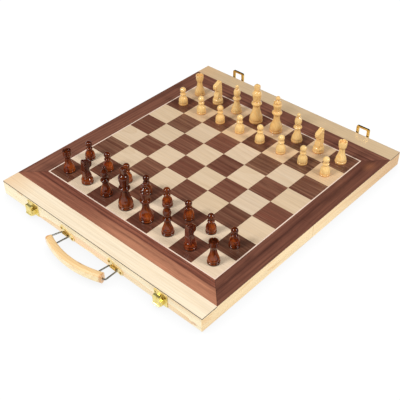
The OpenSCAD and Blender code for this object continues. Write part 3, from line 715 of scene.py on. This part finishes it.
def knight():
    """Looks along +Y. A shaped slab is carved, then its corners are worn round."""
    side = (curve([(-5, 8), (-5.5, 14), (-5.7, 22), (-5.7, 30), (-5.4, 36), (-4.8, 39.4)], STEPS)
            + [(-4, 41), (-2.6, 40.9), (-1.8, 39.4)]
            + curve([(0, 38.6), (3, 37.2), (6.4, 35.8), (8.4, 34.4)], STEPS)
            + curve([(8.9, 33), (8.9, 30), (8.5, 27.8), (7.2, 26.6), (5.4, 26.2), (3.6, 25.2),
                     (2.8, 23.4)], STEPS)
            + curve([(3.2, 20.4), (4.8, 16), (5.9, 12), (6, 8)], STEPS))
    head = prism("knight", side, 11, turn(90, "Z") @ turn(90, "X"))
    edge = curve([(4.8, 7), (4.7, 14), (4.2, 22), (3.7, 30), (3.5, 36), (3.3, 43)], STEPS)
    front = edge + [(-x, z) for x, z in reversed(edge)]
    combine(head, prism("front", front, 30, turn(90, "X")), "INTERSECT")
    plan = [(-5.2, -7), (5.2, -7), (5.2, 3), (2.8, 9.4), (-2.8, 9.4), (-5.2, 3)]
    combine(head, prism("plan", plan, 80), "INTERSECT")
    for side_of in (-1, 1):
        for k in range(6):
            cut = prism("cut", [(-1.1, -0.35), (1.1, -0.35), (1.1, 0.35), (-1.1, 0.35)], 4.6,
                        turn(90, "X"))
            place = shift(side_of * (5.1 - 0.22 * k), -3.6, 14 + 4 * k) @ turn(35, "X")
            cut.data.transform(place)
            combine(head, cut, "DIFFERENCE")
    mouth = prism("mouth", [(-6, 5.8), (6, 5.8), (6, 10), (-6, 10)], 0.7)
    mouth.data.transform(shift(0, 0, 28.8))
    combine(head, mouth, "DIFFERENCE")
    parting = prism("parting", [(-0.6, -7), (0.6, -7), (0.6, -1), (-0.6, -1)], 5)
    parting.data.transform(shift(0, 0, 41.4))
    combine(head, parting, "DIFFERENCE")
    foot = lathe("foot", base(8.7, 3.6)
                 + curve([(7.9, 4), (8.5, 5.8), (8.1, 7.6), (6.9, 9.2), (6.2, 10.2)], STEPS)
                 + [(0, 10.8)])
    made = combine(head, foot, "UNION")
    for side_of in (-1, 1):
        for place, radius in (((side_of * 3.3, 3, 34), 0.9), ((side_of * 3.1, 7.6, 31.6), -0.6)):
            bead = lathe("bead", [(0, -abs(radius))] + arc(0, 0, abs(radius), -80, 80, 10)
                         + [(0, abs(radius))], 20)
            bead.data.transform(shift(*place))
            combine(made, bead, "UNION" if radius > 0 else "DIFFERENCE")
    step = made.modifiers.new("one skin", "REMESH")
    step.mode = "VOXEL"
    step.voxel_size = 0.3 * MM
    worn = made.modifiers.new("worn", "SMOOTH")
    worn.factor = 0.5
    worn.iterations = 5
    made = bake(made)
    made.data.shade_smooth()
    return made


SHAPES = {"king": king, "queen": queen, "bishop": bishop, "rook": rook, "pawn": pawn,
          "knight": knight}


def chess_pieces():
    """A finished piece for every CAD piece, standing on the same square."""
    for kind, shape in SHAPES.items():
        pattern = shape()
        for side, slot in (("white", "boxwood"), ("black", "mahogany")):
            mesh = pattern.data.copy()
            mesh.materials.clear()
            mesh.materials.append(MATERIALS[slot])
            for node in sorted(n for n in NODES if n.startswith(f"{side}_{kind}")):
                low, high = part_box(node)
                middle = (low + high) / 2
                made = bpy.data.objects.new(node + "_turned", mesh)
                bpy.context.scene.collection.objects.link(made)
                made.location = ((math.floor(middle.x / SQUARE) + 0.5) * SQUARE,
                                 (math.floor(middle.y / SQUARE) + 0.5) * SQUARE, TOP)
                made.rotation_euler.z = math.pi if side == "white" else 0
                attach(made, BODY_OF[node])
                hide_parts(node)
        bpy.data.objects.remove(pattern)


def dress_nodes():
    """Every CAD node gets its finish, and some finishes have a slightly broken edge, which
    catches the light."""
    eased = {"pine": 0.5, "brass": 0.12, "latch_brass": 0.12, "grip_wood": 0.3,
             "end_maple": 0.15, "brass_screw": 0.08}
    for name, node in NODES.items():
        slot = SLOT_OF[name]
        node.data.materials.clear()
        node.data.materials.append(MATERIALS[slot])
        if slot in eased:
            edge = node.modifiers.new("eased edge", "BEVEL")
            edge.width = eased[slot] * MM
            edge.segments = 2
            edge.limit_method = "ANGLE"
            edge.angle_limit = math.radians(35)


# ---------------------------------------------------------------- floor, light and camera
# The camera was fitted to the photo's grid of squares: place in m, angles in degrees, lens in mm.
CAMERA_PLACE = Vector((0.5742, -0.6313, 0.6758))
CAMERA_BEARING = 42.887
CAMERA_RISE = 40.013
CAMERA_ROLL = -0.585
CAMERA_LENS = 66.1
PAPER_GLOW = 0.95
PAPER_HALF_WIDTH = 9000  # mm
CONTACT_REACH = 80 * MM
CONTACT_SHADE = 0.84
FILL = 0.34
BACKDROP = 1.05
ROOM_REFLECTION = 0.03


def floor():
    """A pale floor. The camera sees it as white paper with a soft contact shadow, and a part that
    a joint swings below it still shows. What it throws back up is the even glow of white paper."""
    far = PAPER_HALF_WIDTH
    made = mesh_object("floor", [(-far, -far, 0), (far, -far, 0), (far, far, 0), (-far, far, 0)],
                       [(0, 1, 2, 3)])
    material = bpy.data.materials.new("floor")
    material.use_nodes = True
    material.cycles.emission_sampling = "NONE"
    nodes, links = material.node_tree.nodes, material.node_tree.links
    nodes.clear()
    nearby = nodes.new("ShaderNodeAmbientOcclusion")
    nearby.inputs["Distance"].default_value = CONTACT_REACH
    nearby.samples = 16
    dark = nodes.new("ShaderNodeMapRange")
    dark.inputs["From Min"].default_value = 0.25
    dark.inputs["From Max"].default_value = 0.98
    dark.inputs["To Min"].default_value = CONTACT_SHADE
    glass = nodes.new("ShaderNodeBsdfTransparent")
    paper = nodes.new("ShaderNodeEmission")
    paper.inputs["Strength"].default_value = PAPER_GLOW
    seen = nodes.new("ShaderNodeLightPath")
    clear = nodes.new("ShaderNodeMath")
    clear.operation = "MAXIMUM"
    either = nodes.new("ShaderNodeMixShader")
    output = nodes.new("ShaderNodeOutputMaterial")
    links.new(nearby.outputs["AO"], dark.inputs["Value"])
    links.new(dark.outputs["Result"], glass.inputs["Color"])
    links.new(seen.outputs["Is Camera Ray"], clear.inputs[0])
    links.new(seen.outputs["Is Shadow Ray"], clear.inputs[1])
    links.new(clear.outputs[0], either.inputs[0])
    links.new(paper.outputs[0], either.inputs[1])
    links.new(glass.outputs[0], either.inputs[2])
    links.new(either.outputs[0], output.inputs["Surface"])
    made.data.materials.append(material)


def softbox(name, around, height, distance, size, power):
    """Square soft light that looks at the board. around is its bearing from the camera's,
    positive to the right."""
    bearing = math.radians(CAMERA_BEARING - 90 + around)
    rise = math.radians(height)
    place = Vector((math.cos(bearing) * math.cos(rise), math.sin(bearing) * math.cos(rise),
                    math.sin(rise))) * distance
    data = bpy.data.lights.new(name, "AREA")
    data.size = size
    data.energy = power
    made = bpy.data.objects.new(name, data)
    made.location = place
    made.rotation_mode = "QUATERNION"
    made.rotation_quaternion = (-place).to_track_quat("-Z", "Y")
    made.visible_camera = False
    bpy.context.scene.collection.objects.link(made)


def studio():
    """White paper behind the board, an even fill, a dimmer room for reflections, and one soft
    light each side."""
    world = bpy.data.worlds.new("studio")
    world.use_nodes = True
    nodes, links = world.node_tree.nodes, world.node_tree.links
    nodes.clear()
    fill, paper, room = (nodes.new("ShaderNodeBackground") for _ in range(3))
    for light, strength in ((fill, FILL), (paper, BACKDROP), (room, ROOM_REFLECTION)):
        light.inputs["Color"].default_value = (1, 1, 1, 1)
        light.inputs["Strength"].default_value = strength
    ray = nodes.new("ShaderNodeLightPath")
    mirrored, all_rays = (nodes.new("ShaderNodeMixShader") for _ in range(2))
    output = nodes.new("ShaderNodeOutputWorld")
    links.new(ray.outputs["Is Glossy Ray"], mirrored.inputs[0])
    links.new(fill.outputs[0], mirrored.inputs[1])
    links.new(room.outputs[0], mirrored.inputs[2])
    links.new(ray.outputs["Is Camera Ray"], all_rays.inputs[0])
    links.new(mirrored.outputs[0], all_rays.inputs[1])
    links.new(paper.outputs[0], all_rays.inputs[2])
    links.new(all_rays.outputs[0], output.inputs["Surface"])
    bpy.context.scene.world = world
    softbox("left_light", -62, 44, 1.6, 0.5, 16)
    softbox("right_light", 62, 40, 1.6, 0.45, 11.5)
    bpy.context.scene.view_settings.view_transform = "Standard"
    bpy.context.scene.view_settings.look = "None"


def camera():
    data = bpy.data.cameras.new("camera")
    data.sensor_width = 36
    data.lens = CAMERA_LENS
    made = bpy.data.objects.new("camera", data)
    a, e = math.radians(CAMERA_BEARING), math.radians(CAMERA_RISE)
    back = Vector((math.sin(a) * math.cos(e), -math.cos(a) * math.cos(e), math.sin(e)))
    level = (-back).to_track_quat("-Z", "Y")
    roll = Matrix.Rotation(math.radians(CAMERA_ROLL), 3, "Z").to_quaternion()
    made.location = CAMERA_PLACE
    made.rotation_mode = "QUATERNION"
    made.rotation_quaternion = level @ roll
    bpy.context.scene.collection.objects.link(made)
    bpy.context.scene.camera = made


camera()
dress_nodes()
chess_pieces()
floor()
studio()
